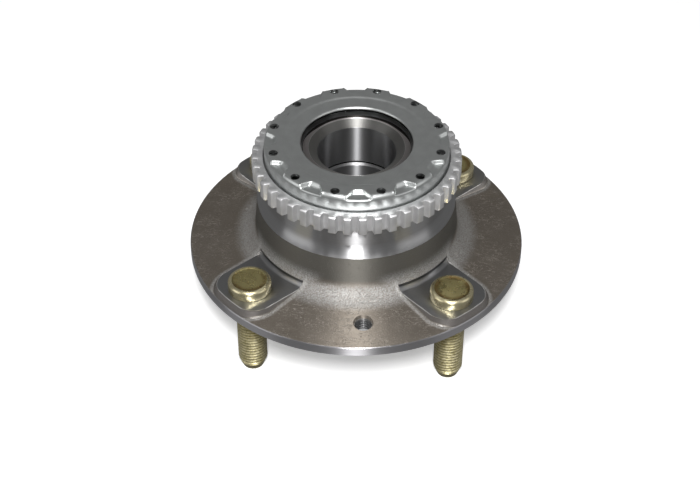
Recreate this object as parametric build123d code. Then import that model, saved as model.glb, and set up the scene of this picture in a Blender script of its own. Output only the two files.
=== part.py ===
from build123d import *
from math import radians, sin, sqrt, tan
import os

# Rear wheel hub bearing with a turning outer ring, in millimetres.
# The flanged hub carries the wheel and runs on two rows of balls around two
# inner rings, which are clamped together on a fixed spindle.
# Z is the axis of rotation. z = 0 is the flange face that the brake disc
# seats on, and +Z points inboard, to the suspension.

# Wheel flange
flange_margin = 12.35
rim_h = 4.6
rim_chamfer = 0.5
flange_slope = 6.1
stud_circle_d = 114.3
stud_count = 4
first_stud_angle = 45.0

# Centring pilot for the disc and the wheel, with the seat of the dust cap in it
pilot_d = 67.0
pilot_h = 12.0
pilot_wall = 2.0
register_step = 0.5
register_h = 4.0
pilot_chamfer = 1.0
relief_w = 1.2
relief_depth = 0.5

# Stud pads, spot-faced on the forged flange
pad_z = 7.5
pad_w = 27.2
pad_corner_r = 7.0
pad_rim_gap = 1.8
pad_rim_ledge = 0.15
pad_skirt = 1.3
pad_skirt_drop = 2.2
pad_head_gap = 5.65
pad_wall_fillet = 1.8

# Drum removal holes, M8
puller_hole_d = 6.8
puller_hole_angle = -83.9
puller_hole_count = 2
puller_chamfer = 0.6

# Forged barrel between the flange and the tone ring
forged_edge_z = 25.3
forged_draft = 5.0
foot_fillet_r = 6.5
flare_w = 2.9
flare_h = 4.7
barrel_wall = 7.2
spigot_h = 4.5
spigot_depth = 1.9
hub_chamfer = 0.4

# Wheel studs, M12 x 1.5, pressed into the flange
stud_d = 12.0
stud_l = 41.5
stud_head_d = 17.5
stud_head_h = 4.5
stud_head_fillet = 1.5
stud_head_under_r = 0.4
stud_knurl_step = 0.45
stud_knurl_overrun = 0.3
stud_point_taper = 1.7
stud_point_h = 4.5

# Bearing: two rows of balls, back to back
bore_d = 32.0
bearing_mid_z = 29.3
inner_wall = 3.3
ball_d = 11.1125
ball_count = 12
row_offset = 9.6
race_gap = 0.05
inner_high_shoulder = 2.9
inner_low_shoulder = 5.1
outer_high_shoulder = 3.1
outer_low_shoulder = 5.3
ring_end_gap = 0.3
hub_end_gap = 0.3
lead_w = 3.5
lead_h = 2.2
joint_chamfer = 1.3
shoulder_chamfer = 0.3

# Ball cages, one for each row
cage_t = 4.0
cage_base_t = 1.2
cage_prong_h = 2.6
cage_pocket_gap = 0.15
cage_horn_w = 0.55
cage_notch_h = 1.5

# Clip that holds the two inner rings together off the car
clip_t = 0.8
clip_w = 7.0
clip_hook = 0.7
clip_split = 3.0

# Seals: a pressed case with a rubber lip, and a slinger on the inner ring
seal_step = 0.6
seal_ball_gap = 0.5
seal_case_h = 4.4
seal_case_t = 0.8
seal_case_reach = 5.3
slinger_t = 0.7
slinger_h = 4.1
slinger_gap = 0.4
lip_t = 0.8
lip_gap = 0.1
lip_nose = 0.9
lip_overlap = 2.0
lip_lean = 1.6

# Tone ring for the wheel speed sensor
tone_teeth = 44
tone_wall = 2.1
tone_tooth_h = 2.4
tone_h = 8.1
tone_overhang = 1.1
tone_tip_w = 2.5
tone_gap_w = 1.85
tone_chamfer = 0.5
tone_phase = -83.5

# Stamped cover plate over the inboard end
plate_t = 1.2
plate_seat_gap = 0.7
plate_bend_r = 0.7
plate_step = 0.5
plate_lip_w = 6.8
plate_lip_h = 1.6
plate_lip_r = 1.4
plate_gap = 0.5
plate_skirt_gap = 0.3
plate_hole_d = 3.7
plate_hole_edge = 2.9
plate_hole_count = 12
plate_hole_angle = 19.09
dart_angle = 4.09
dart_depth = 1.6
dart_l = 5.2
dart_back_run = 1.9
dart_inner_w = 4.1
dart_outer_w = 11.9
dart_side_run = 1.1

# Sizes that follow from the ones above
ball_r = ball_d / 2
groove_r = ball_r + race_gap
bore_r = bore_d / 2
pitch_r = bore_r + inner_wall + groove_r
inner_shoulder_r = pitch_r - inner_high_shoulder
inner_low_r = pitch_r - inner_low_shoulder
outer_land_r = pitch_r + outer_high_shoulder
outer_low_r = pitch_r + outer_low_shoulder
seal_seat_r = outer_low_r + seal_step
barrel_r = seal_seat_r + barrel_wall
forged_r = barrel_r + flare_w
spigot_r = barrel_r - spigot_depth
tone_root_r = barrel_r + tone_wall
tone_tip_r = tone_root_r + tone_tooth_h
plate_r = spigot_r + plate_t
pilot_r = pilot_d / 2
register_r = pilot_r + register_step
stud_r = stud_d / 2
stud_head_r = stud_head_d / 2
stud_hole_r = stud_r + stud_knurl_step
stud_circle_r = stud_circle_d / 2
flange_r = stud_circle_r + flange_margin
pad_edge_r = flange_r - pad_rim_gap
pad_wall_r = stud_circle_r - stud_head_r - pad_head_gap

row_z = bearing_mid_z + row_offset
seal_floor_z = row_z + groove_r + seal_ball_gap
seal_end_z = seal_floor_z + seal_case_h
ring_end_z = seal_end_z + ring_end_gap
hub_end_z = ring_end_z + hub_end_gap
slinger_z = ring_end_z - slinger_gap - slinger_t
barrel_top_z = hub_end_z - spigot_h
tone_top_z = barrel_top_z + tone_overhang
plate_top_z = hub_end_z + plate_seat_gap + dart_depth + plate_t

# The two straight forged lines that meet in the foot of the barrel
draft_run = tan(radians(forged_draft))
slope_rise = tan(radians(flange_slope))
foot_r = (forged_r + draft_run * (forged_edge_z - rim_h - slope_rise * flange_r)) / (
    1 - draft_run * slope_rise
)
foot_z = rim_h + slope_rise * (flange_r - foot_r)

middle = Plane.XY.offset(bearing_mid_z)


def section(*lines):
    """Face in the (radius, height) plane inside a closed chain of lines."""
    return make_face(Curve() + list(lines))


def spin(face):
    """Solid of revolution about Z of a (radius, height) face."""
    return revolve(Plane.XZ * face, Axis.Z)


def turned(*points):
    """Solid of revolution about Z inside an outline of (radius, height) points."""
    return spin(section(Polyline(*points, close=True)))


def corners_at(shape, *points):
    """The corners of a flat outline that lie nearest to the given points."""
    return [shape.vertices().sort_by_distance(point)[0] for point in points]


def stud_places(z=0.0):
    """Places of the wheel studs, with local +X pointing away from the axis."""
    places = PolarLocations(stud_circle_r, stud_count, first_stud_angle)
    return [Location((0, 0, z)) * place for place in places]


def hub_outline():
    """Outside of the hub from the pilot to the inboard end, as turned and forged."""
    c = rim_chamfer
    wheel_side = Polyline(
        (0, -pilot_h),
        (pilot_r - pilot_chamfer, -pilot_h),
        (pilot_r, pilot_chamfer - pilot_h),
        (pilot_r, -register_h),
        (register_r, -register_h),
        (register_r, relief_depth),
        (register_r + relief_w, relief_depth),
        (register_r + relief_w + relief_depth, 0),
        (flange_r - c, 0),
        (flange_r, c),
        (flange_r, rim_h - c),
        (flange_r - c, rim_h),
        (foot_r, foot_z),
        (forged_r, forged_edge_z),
    )
    flare_top = (barrel_r, forged_edge_z + flare_h)
    flare = TangentArc(flare_top, (forged_r, forged_edge_z), tangent=(0, -1))
    inboard_side = Polyline(
        flare_top,
        (barrel_r, barrel_top_z - hub_chamfer),
        (barrel_r - hub_chamfer, barrel_top_z),
        (spigot_r, barrel_top_z),
        (spigot_r, hub_end_z - hub_chamfer),
        (spigot_r - hub_chamfer, hub_end_z),
        (0, hub_end_z),
        (0, -pilot_h),
    )
    outline = section(wheel_side, flare, inboard_side)
    return fillet(corners_at(outline, (foot_r, foot_z)), foot_fillet_r)


def hub_bore():
    """Everything inside the hub: seal seats, ball grooves and the dust cap seat."""
    seal_ledge_z = seal_floor_z - hub_chamfer
    half = turned(
        (0, bearing_mid_z),
        (outer_land_r, bearing_mid_z),
        (outer_land_r, row_z),
        (outer_low_r, row_z),
        (outer_low_r, seal_ledge_z),
        (seal_seat_r, seal_floor_z),
        (seal_seat_r, hub_end_z - hub_chamfer),
        (seal_seat_r + hub_chamfer, hub_end_z),
        (0, hub_end_z),
    )
    half += Pos(0, 0, row_z) * Torus(pitch_r, groove_r)
    cap_r = pilot_r - pilot_wall
    cap_end_z = 2 * bearing_mid_z - hub_end_z
    cap_seat = turned(
        (0, -pilot_h),
        (cap_r + hub_chamfer, -pilot_h),
        (cap_r, hub_chamfer - pilot_h),
        (cap_r, cap_end_z),
        (0, cap_end_z),
    )
    return half + mirror(half, middle) + cap_seat


def pad_outline(grow, end_r):
    """Outline of a stud pad around its stud; its outer end follows the rim."""
    half = pad_w / 2 + grow
    inner = -stud_circle_r + barrel_r
    outer = sqrt(end_r**2 - half**2) - stud_circle_r
    sides = Polyline((outer, -half), (inner, -half), (inner, half), (outer, half))
    end = ThreePointArc((outer, half), (end_r - stud_circle_r, 0), (outer, -half))
    face = make_face(sides + end)
    return fillet(corners_at(face, (outer, -half), (outer, half)), pad_corner_r + grow)


def pad_boss():
    """Forged boss under a stud pad, with sloping sides that run into the flange."""
    depth = pad_z - rim_h / 2
    grow = pad_skirt * depth / pad_skirt_drop
    lean = (pad_rim_gap - rim_chamfer - pad_rim_ledge) / (pad_z - rim_h)
    foot = Pos(0, 0, -depth) * pad_outline(grow, pad_edge_r + lean * depth)
    return loft([foot, pad_outline(0, pad_edge_r)], ruled=True)


def pad_cutter():
    """Spot face of a stud pad, which also cuts a curved wall into the barrel foot."""
    height = forged_edge_z - pad_z
    cutter = extrude(pad_outline(0, pad_edge_r), height)
    cutter -= Pos(-stud_circle_r, 0, 0) * Cylinder(
        pad_wall_r, height, align=(Align.CENTER, Align.CENTER, Align.MIN)
    )
    floor_edges = cutter.edges().group_by(Axis.Z)[0]
    wall_foot = floor_edges.filter_by(GeomType.CIRCLE).sort_by(Axis.X)[0]
    return fillet(wall_foot, pad_wall_fillet)


def stud_pads(hub):
    """Add the bosses of the stud pads to the hub and spot-face them."""
    for place in stud_places(pad_z):
        hub += (place * pad_boss()) & Cylinder(flange_r - rim_chamfer, 4 * pad_z)
    for place in stud_places(pad_z):
        hub -= place * pad_cutter()
    return hub


def puller_hole():
    """Tapped hole with a countersink at the forged side, drilled from z = 0 up."""
    hole_r = puller_hole_d / 2
    top_z = rim_h + slope_rise * (flange_r - stud_circle_r)
    drill = Cylinder(hole_r, 2 * pad_z, align=(Align.CENTER, Align.CENTER, Align.CENTER))
    mouth = turned(
        (0, top_z - puller_chamfer - hole_r),
        (hole_r + 2 * puller_chamfer, top_z + puller_chamfer),
        (0, top_z + puller_chamfer),
    )
    return drill + mouth


def make_hub():
    """Forged and machined hub: wheel flange, barrel and outer ring in one piece."""
    hub = stud_pads(spin(hub_outline()))
    hub -= hub_bore()
    for place in stud_places():
        hub -= place * Cylinder(stud_hole_r, 4 * pad_z)
    for place in PolarLocations(stud_circle_r, puller_hole_count, puller_hole_angle):
        hub -= place * puller_hole()
    return hub


def make_stud():
    """Wheel stud standing on its head plane, with the head up and the point down."""
    knurl_z = -pad_z - stud_knurl_overrun
    outline = section(
        Polyline(
            (0, stud_head_h),
            (stud_head_r, stud_head_h),
            (stud_head_r, 0),
            (stud_hole_r, 0),
            (stud_hole_r, knurl_z + stud_knurl_step),
            (stud_r, knurl_z),
            (stud_r, stud_point_h - stud_l),
            (stud_r - stud_point_taper, -stud_l),
            (0, -stud_l),
            close=True,
        )
    )
    outline = fillet(corners_at(outline, (stud_head_r, 0)), stud_head_under_r)
    outline = fillet(corners_at(outline, (stud_head_r, stud_head_h)), stud_head_fillet)
    return spin(outline)


def make_inner_ring():
    """Inboard inner ring, with its high shoulder at the outer end."""
    ring = turned(
        (bore_r + joint_chamfer, bearing_mid_z),
        (inner_low_r - shoulder_chamfer, bearing_mid_z),
        (inner_low_r, bearing_mid_z + shoulder_chamfer),
        (inner_low_r, row_z),
        (inner_shoulder_r, row_z),
        (inner_shoulder_r, ring_end_z - shoulder_chamfer),
        (inner_shoulder_r - shoulder_chamfer, ring_end_z),
        (bore_r + lead_w, ring_end_z),
        (bore_r, ring_end_z - lead_h),
        (bore_r, bearing_mid_z + joint_chamfer),
    )
    ring -= Pos(0, 0, row_z) * Torus(pitch_r, groove_r)
    return ring - clip_groove()


def clip_groove():
    """Pair of grooves around the inner rings that the clip hooks into."""
    edge_z = bearing_mid_z + clip_w / 2
    groove = turned(
        (inner_low_r - clip_hook, edge_z - clip_t),
        (inner_low_r + clip_t, edge_z - clip_t),
        (inner_low_r + clip_t, edge_z),
        (inner_low_r - clip_hook, edge_z),
    )
    return groove + mirror(groove, middle)


def make_clip():
    """Split spring clip of channel section, hooked over both inner rings."""
    low_z = bearing_mid_z - clip_w / 2
    band = Pos(0, 0, low_z) * (
        Cylinder(inner_low_r + clip_t, clip_w, align=(Align.CENTER, Align.CENTER, Align.MIN))
        - Cylinder(inner_low_r, clip_w, align=(Align.CENTER, Align.CENTER, Align.MIN))
    )
    split = Pos(inner_low_r, 0, bearing_mid_z) * Box(4 * clip_t, clip_split, 2 * clip_w)
    return band + clip_groove() - split


def make_balls():
    """One row of balls on the pitch circle."""
    places = PolarLocations(pitch_r, ball_count)
    return Part() + [Pos(0, 0, row_z) * place * Sphere(ball_r) for place in places]


def make_cage():
    """Snap cage: a moulded ring with round pockets and prongs that grip the balls."""
    inner_r = pitch_r - cage_t / 2
    outer_r = pitch_r + cage_t / 2
    pocket_r = ball_r + cage_pocket_gap
    base_z = row_z - pocket_r - cage_base_t
    cage = turned(
        (inner_r, base_z),
        (outer_r, base_z),
        (outer_r, row_z + cage_prong_h),
        (inner_r, row_z + cage_prong_h),
    )
    for place in PolarLocations(pitch_r, ball_count):
        cage -= Pos(0, 0, row_z) * place * Sphere(pocket_r)
    for place in PolarLocations(pitch_r, ball_count, 180 / ball_count):
        cage -= Pos(0, 0, row_z + cage_prong_h) * place * cage_notch()
    return cage


def cage_notch():
    """Notch that splits the web between two pockets into a pair of horns."""
    pocket_r = ball_r + cage_pocket_gap
    spacing = 2 * pitch_r * sin(radians(180 / ball_count))
    web_w = spacing - 2 * sqrt(pocket_r**2 - cage_prong_h**2)
    half = web_w / 2 - cage_horn_w
    wedge = make_face(Polyline((-half, 0), (0, -cage_notch_h), (half, 0), close=True))
    return extrude(Plane.YZ * wedge, cage_t, both=True)


def make_seal_case():
    """Steel case of the inboard seal: a cup pressed into the hub."""
    return turned(
        (seal_seat_r - seal_case_reach, seal_floor_z),
        (seal_seat_r, seal_floor_z),
        (seal_seat_r, seal_end_z),
        (seal_seat_r - seal_case_t, seal_end_z),
        (seal_seat_r - seal_case_t, seal_floor_z + seal_case_t),
        (seal_seat_r - seal_case_reach, seal_floor_z + seal_case_t),
    )


def make_seal_lip():
    """Rubber bonded to the case, with one lip at the slinger and one at its sleeve."""
    edge_r = seal_seat_r - seal_case_reach
    face_z = seal_floor_z + seal_case_t
    sleeve_r = inner_shoulder_r + slinger_t + lip_gap
    flange_z = slinger_z - lip_gap
    return turned(
        (edge_r, seal_floor_z),
        (edge_r, face_z),
        (edge_r + lip_overlap, face_z),
        (edge_r + lip_overlap, face_z + lip_t / 2),
        (edge_r + lip_t, face_z + lip_t),
        (edge_r + lip_t + lip_lean, flange_z),
        (edge_r + lip_lean, flange_z),
        (edge_r - lip_t, face_z + lip_t),
        (sleeve_r, face_z + lip_t),
        (sleeve_r + lip_nose, seal_floor_z),
    )


def make_slinger():
    """Pressed steel slinger on the shoulder of the inner ring."""
    sleeve_r = inner_shoulder_r + slinger_t
    edge_r = seal_seat_r - seal_case_t - slinger_gap
    end_z = slinger_z + slinger_t
    return turned(
        (inner_shoulder_r, end_z - slinger_h),
        (sleeve_r, end_z - slinger_h),
        (sleeve_r, slinger_z),
        (edge_r, slinger_z),
        (edge_r, end_z),
        (inner_shoulder_r, end_z),
    )


def make_tone_ring():
    """Toothed ring pressed on the barrel, with bevelled tooth ends."""
    low_z = tone_top_z - tone_h
    c = tone_chamfer
    root_w = 2 * tone_root_r * tan(radians(180 / tone_teeth)) - tone_gap_w
    sunk_r = (tone_root_r + barrel_r) / 2
    tooth = make_face(
        Polyline(
            (sunk_r, -root_w / 2),
            (tone_root_r, -root_w / 2),
            (tone_tip_r + c, -tone_tip_w / 2),
            (tone_tip_r + c, tone_tip_w / 2),
            (tone_root_r, root_w / 2),
            (sunk_r, root_w / 2),
            close=True,
        )
    )
    ring = Circle(tone_root_r) + PolarLocations(0, tone_teeth, tone_phase) * tooth
    ring = Pos(0, 0, low_z) * extrude(ring, tone_h)
    return ring & turned(
        (barrel_r, low_z),
        (tone_tip_r - c, low_z),
        (tone_tip_r, low_z + c),
        (tone_tip_r, tone_top_z - c),
        (tone_tip_r - c, tone_top_z),
        (barrel_r, tone_top_z),
    )


def plate_section():
    """Section of the cover plate: skirt, top, shallow step and turned-down lip."""
    t = plate_t
    lip_r = inner_shoulder_r + plate_gap
    step_r = lip_r + plate_lip_w
    low_z = plate_top_z - plate_step
    skirt_z = barrel_top_z + plate_skirt_gap
    lip_z = low_z - plate_lip_h - t
    face = section(
        Polyline(
            (plate_r, skirt_z),
            (plate_r, plate_top_z),
            (step_r, plate_top_z),
            (step_r - plate_step, low_z),
            (lip_r, low_z),
            (lip_r, lip_z),
            (lip_r + t, lip_z),
            (lip_r + t, low_z - t),
            (step_r - plate_step, low_z - t),
            (step_r, plate_top_z - t),
            (plate_r - t, plate_top_z - t),
            (plate_r - t, skirt_z),
            close=True,
        )
    )
    face = fillet(corners_at(face, (plate_r, plate_top_z)), plate_bend_r + t)
    face = fillet(corners_at(face, (plate_r - t, plate_top_z - t)), plate_bend_r)
    return fillet(corners_at(face, (lip_r, low_z)), plate_lip_r)


def dart_block(grow, drop):
    """Tapered block of a corner dart, grown sideways and down from the top face."""
    back = plate_r - dart_l
    front = plate_r + plate_t
    back_w = dart_inner_w / 2 + grow
    front_w = dart_outer_w / 2 + grow
    floor_back = back + dart_back_run
    upper = Polyline(
        (back - grow, -back_w), (front, -front_w), (front, front_w), (back - grow, back_w), close=True
    )
    lower = Polyline(
        (floor_back - grow, dart_side_run - back_w),
        (front, dart_side_run - front_w),
        (front, front_w - dart_side_run),
        (floor_back - grow, back_w - dart_side_run),
        close=True,
    )
    floor = Pos(0, 0, -dart_depth - drop) * make_face(lower)
    return loft([floor, Pos(0, 0, -drop) * make_face(upper)], ruled=True)


def make_cover_plate():
    """Zinc-plated cover with a ring of drain holes and pressed darts at its corner."""
    plate = spin(plate_section())
    inside = turned(
        (0, barrel_top_z), (plate_r, barrel_top_z), (plate_r, plate_top_z), (0, plate_top_z)
    )
    darts = [
        Pos(0, 0, plate_top_z) * place
        for place in PolarLocations(0, plate_hole_count, dart_angle)
    ]
    for place in darts:
        plate += (place * dart_block(plate_t / 2, plate_t)) & inside
    for place in darts:
        plate -= place * dart_block(0, 0)
    for place in PolarLocations(plate_r - plate_hole_edge, plate_hole_count, plate_hole_angle):
        plate -= Pos(0, 0, plate_top_z) * place * Cylinder(plate_hole_d / 2, 2 * dart_depth)
    return plate


def paired(name, shape):
    """The inboard piece and its mirror image on the outboard side."""
    return {name + "_inboard": shape, name + "_outboard": mirror(shape, middle)}


def make_pieces():
    """Every piece of the hub bearing by its name."""
    pieces = {"hub": make_hub(), "tone_ring": make_tone_ring(), "cover_plate": make_cover_plate()}
    stud = make_stud()
    for number, place in enumerate(stud_places(pad_z), start=1):
        pieces[f"wheel_stud_{number}"] = place * stud
    pieces["inner_ring_clip"] = make_clip()
    pieces |= paired("inner_ring", make_inner_ring())
    pieces |= paired("balls", make_balls())
    pieces |= paired("cage", make_cage())
    pieces |= paired("seal_case", make_seal_case())
    pieces |= paired("seal_lip", make_seal_lip())
    pieces |= paired("slinger", make_slinger())
    return pieces


os.makedirs("parts", exist_ok=True)
for piece_name, piece in make_pieces().items():
    piece.label = piece_name
    export_step(piece, f"parts/{piece_name}.step")
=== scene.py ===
from math import cos, pi, radians, sin

import bmesh
import bpy
from mathutils import Matrix, Vector


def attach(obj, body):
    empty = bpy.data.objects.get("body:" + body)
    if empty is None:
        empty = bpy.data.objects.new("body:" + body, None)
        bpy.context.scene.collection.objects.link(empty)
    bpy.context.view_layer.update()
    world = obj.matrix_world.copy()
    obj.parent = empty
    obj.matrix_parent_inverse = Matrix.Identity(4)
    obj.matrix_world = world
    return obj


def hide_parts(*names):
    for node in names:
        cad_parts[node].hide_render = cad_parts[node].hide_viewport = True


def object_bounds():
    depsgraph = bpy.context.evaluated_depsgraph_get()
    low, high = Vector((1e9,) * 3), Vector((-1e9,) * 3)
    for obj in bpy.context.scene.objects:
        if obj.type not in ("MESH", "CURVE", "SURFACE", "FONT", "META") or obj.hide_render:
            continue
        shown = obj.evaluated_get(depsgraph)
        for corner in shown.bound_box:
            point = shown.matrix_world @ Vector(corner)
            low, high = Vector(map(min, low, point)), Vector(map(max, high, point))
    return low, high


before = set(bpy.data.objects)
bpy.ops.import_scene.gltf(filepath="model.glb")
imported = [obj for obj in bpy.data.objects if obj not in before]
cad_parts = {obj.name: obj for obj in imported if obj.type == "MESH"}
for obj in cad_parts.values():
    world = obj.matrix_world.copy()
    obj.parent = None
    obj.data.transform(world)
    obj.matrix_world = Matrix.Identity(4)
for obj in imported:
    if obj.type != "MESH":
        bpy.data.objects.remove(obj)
cad_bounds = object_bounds()

# Lengths are in metres and angles in degrees
MM = 0.001
WHITE = (1.0, 1.0, 1.0, 1.0)
# Angle between the rows of points round a small bend
BEND_STEP = 15
# Share of a turn, from along the turning marks to across them
QUARTER_TURN = 0.25

# Camera: its target is turned about Z with it, and the studs stand at 45 degrees to X and Y
CAMERA_TARGET = Vector((-2.56, 0.0, -2.24)) * MM
CAMERA_DISTANCE = 665.6 * MM
CAMERA_ELEVATION = 40.46
CAMERA_TURN = 3.29
CAMERA_ROLL = 0.25
CAMERA_CLIP = 0.01
LENS_WIDTH = 36.0
FOCAL_LENGTH = 80.83

# Soft boxes: name, place, size and power
SURROUND_STRENGTH = 0.22
LIGHT_TARGET = Vector((0, 0, 0.02))
LIGHTS = (
    ("flash", (0.03, -0.60, 0.66), (0.09, 0.14), 7.2),
    ("left_box", (-0.80, -0.40, 0.35), (0.6, 0.8), 1.5),
    ("right_box", (0.80, -0.30, 0.35), (0.6, 0.8), 1.0),
    ("front_box", (0.05, -0.80, 0.10), (0.18, 0.2), 1.1),
    ("top_box", (0.0, -0.25, 1.6), (0.9, 0.6), 3.5),
)

FLOOR_RADIUS = 3.0
FLOOR_SIDES = 96
FLOOR_GLOW = 0.3
FLOOR_CLOUD = 3.0
FLOOR_COLOR = (0.93, 0.93, 0.93)
FLOOR_DARK = (0.91, 0.91, 0.91)
FLOOR_LIGHT = (0.95, 0.95, 0.95)
FLOOR_ROUGHNESS = 0.9

# Hub: the heights and radii that its finishes follow
FLANGE_RADIUS = 69.5 * MM
FLANGE_RISE = 0.1069
RIM_HEIGHT = 4.6 * MM
FORGED_TOP = 25.3 * MM
STUD_CIRCLE_RADIUS = 57.15 * MM
PAD_HEIGHT = 7.5 * MM
PAD_HALF_WIDTH = 13.6 * MM
PAD_EDGE_RADIUS = 67.7 * MM
PAD_CORNER = 7.0 * MM
PAD_WALL_LEAN = 0.59
PULLER_HOLE_ANGLE = -83.9
HOLE_PITCH = 1.25 * MM

# Wheel studs: M12 x 1.5 rolled thread, knurled neck and dished head
STUD_COUNT = 4
FIRST_STUD_ANGLE = 45.0
STUD_SIDES = 72
STUD_RADIUS = 6.0 * MM
STUD_END = -34.0 * MM
STUD_SHARP = 50
POINT_HEIGHT = 4.5 * MM
POINT_TAPER = 1.7 * MM
THREAD_PITCH = 1.5 * MM
THREAD_DEPTH = 0.9 * MM
THREAD_TOP = -3.0 * MM
THREAD_FADE = 1.2 * MM
# Turns of the helix past its ends, which are flattened
SPARE_TURNS = 3
# The share of a pitch and the share of the depth at each corner of the thread form
THREAD_FORM = ((-1 / 16, 0.0), (1 / 16, 0.0), (7 / 32, 0.5), (3 / 8, 1.0), (5 / 8, 1.0), (25 / 32, 0.5))
KNURL_BOTTOM = -0.3 * MM
KNURL_RADIUS = 6.45 * MM
KNURL_DEPTH = 0.25 * MM
HEAD_RADIUS = 8.75 * MM
HEAD_TOP = 12.0 * MM
HEAD_EDGE = 1.5 * MM
HEAD_UNDER_EDGE = 0.4 * MM
HEAD_DISH = 0.3 * MM
# How far inside the rounded edge, and at what share of the dish's depth
DISH_EDGE = ((0.25 * MM, 0.05), (0.6 * MM, 0.85), (1.0 * MM, 1.0))
DISH_HALFWAY = 0.8
DISH_MIDDLE = 0.75
WELD_DISTANCE = 0.002 * MM

# Cover plate: pressed sheet with twelve darts at its corner and twelve drain holes
PLATE_SIDES = 720
PLATE_RADIUS = 37.306 * MM
PLATE_TOP = 53.506 * MM
PLATE_SKIRT = 45.806 * MM
PLATE_THICKNESS = 1.2 * MM
PLATE_BEND = 1.9 * MM
PLATE_STEP = 0.5 * MM
PLATE_STEP_RADIUS = 29.306 * MM
PLATE_STEP_RUN = 1.8 * MM
LIP_RADIUS = 22.506 * MM
LIP_BEND = 1.0 * MM
LIP_HEIGHT = 1.6 * MM
LEAST_LIP_BEND = 0.2 * MM
LEAST_BEND = 0.1 * MM
DART_COUNT = 12
DART_ANGLE = 4.09
DART_DEPTH = 1.6 * MM
DART_START = 32.106 * MM
DART_BACK_RUN = 1.9 * MM
DART_HALF_WIDTH = 2.05 * MM
DART_SPREAD = 0.75
DART_SIDE_RUN = 1.1 * MM
DART_BEND = 0.7 * MM
DRAIN_ANGLE = 19.09
DRAIN_CIRCLE = 34.406 * MM
DRAIN_RADIUS = 1.85 * MM
DRAIN_SIDES = 40
DRAIN_DEPTH = 3 * PLATE_THICKNESS
PLATE_SHARP = 40
# Rows of points along the sheet
STEP_ROWS = 5
TOP_ROWS = 18
SKIRT_ROWS = (0.12, 0.3, 0.6, 1.0)

# Toothed ring of the wheel speed sensor
TOOTH_COUNT = 44
TOOTH_ANGLE = -83.5
TOOTH_TIP_RADIUS = 42.506 * MM
TOOTH_ROOT_RADIUS = 40.106 * MM
TOOTH_BORE_RADIUS = 38.006 * MM
TOOTH_ROOT_WIDTH = 3.886 * MM
TOOTH_TIP_WIDTH = 2.74 * MM
TOOTH_CHAMFER = 0.5 * MM
TOOTH_EDGE = 0.2 * MM
TOOTH_EDGE_ANGLE = 25
TOOTH_EDGE_SEGMENTS = 2
# Sharp angle of the plain corners, and of the softened ones
PLAIN_TOOTH_SHARP = 30
SOFT_TOOTH_SHARP = 40
RING_BOTTOM = 38.506 * MM
RING_TOP = 46.606 * MM

# Inner rings
BORE_RADIUS = 16.0 * MM
RING_SHADE_RADIUS = 20.2 * MM
LEAD_RADIUS = 19.5 * MM
LEAD_FOOT = 47.5 * MM
RING_JOINT = 29.3 * MM
JOINT_CHAMFER = 1.3 * MM


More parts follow.
